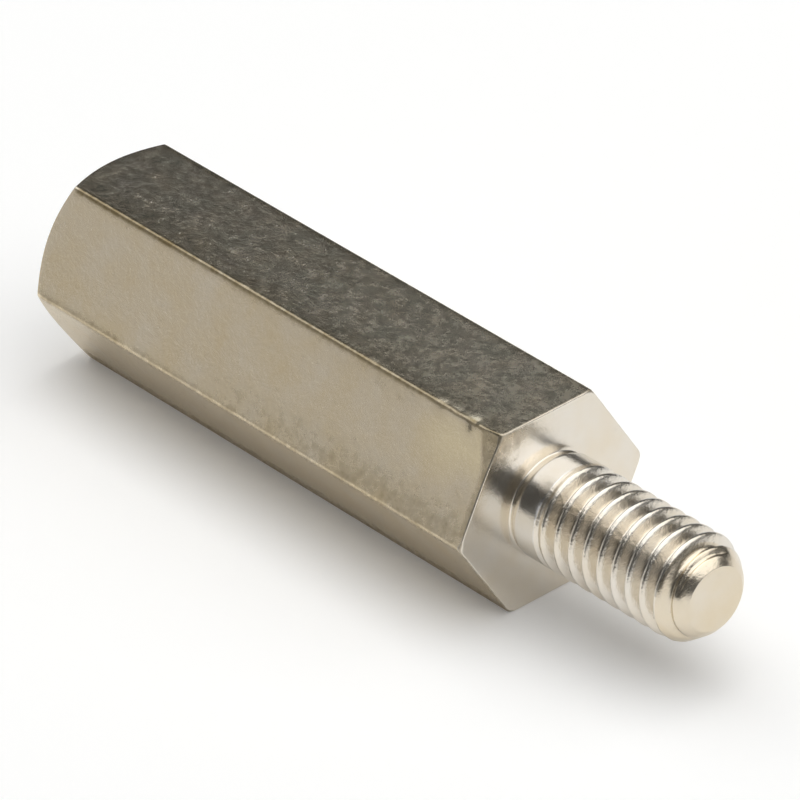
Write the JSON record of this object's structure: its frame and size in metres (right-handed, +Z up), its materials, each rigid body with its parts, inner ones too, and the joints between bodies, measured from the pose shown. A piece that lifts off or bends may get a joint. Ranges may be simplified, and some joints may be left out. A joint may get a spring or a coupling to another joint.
{
  "type": "hex standoff",
  "caption": "Hexagonal metal standoff: a threaded stud stands out of its shoulder, and the other end has a tapped blind hole.",
  "frame": {"origin": "on the axis, at the shoulder that the stud stands out of", "axes": "+X along the axis to the stud's tip, +Z up out of a flat, with the opposite flat down"},
  "size_m": [0.0311, 0.008, 0.007],
  "materials": {
    "nickel_plated_brass": "satin"
  },
  "bodies": {
    "root": {"hex_standoff": "nickel_plated_brass"}
  },
  "joints": []
}
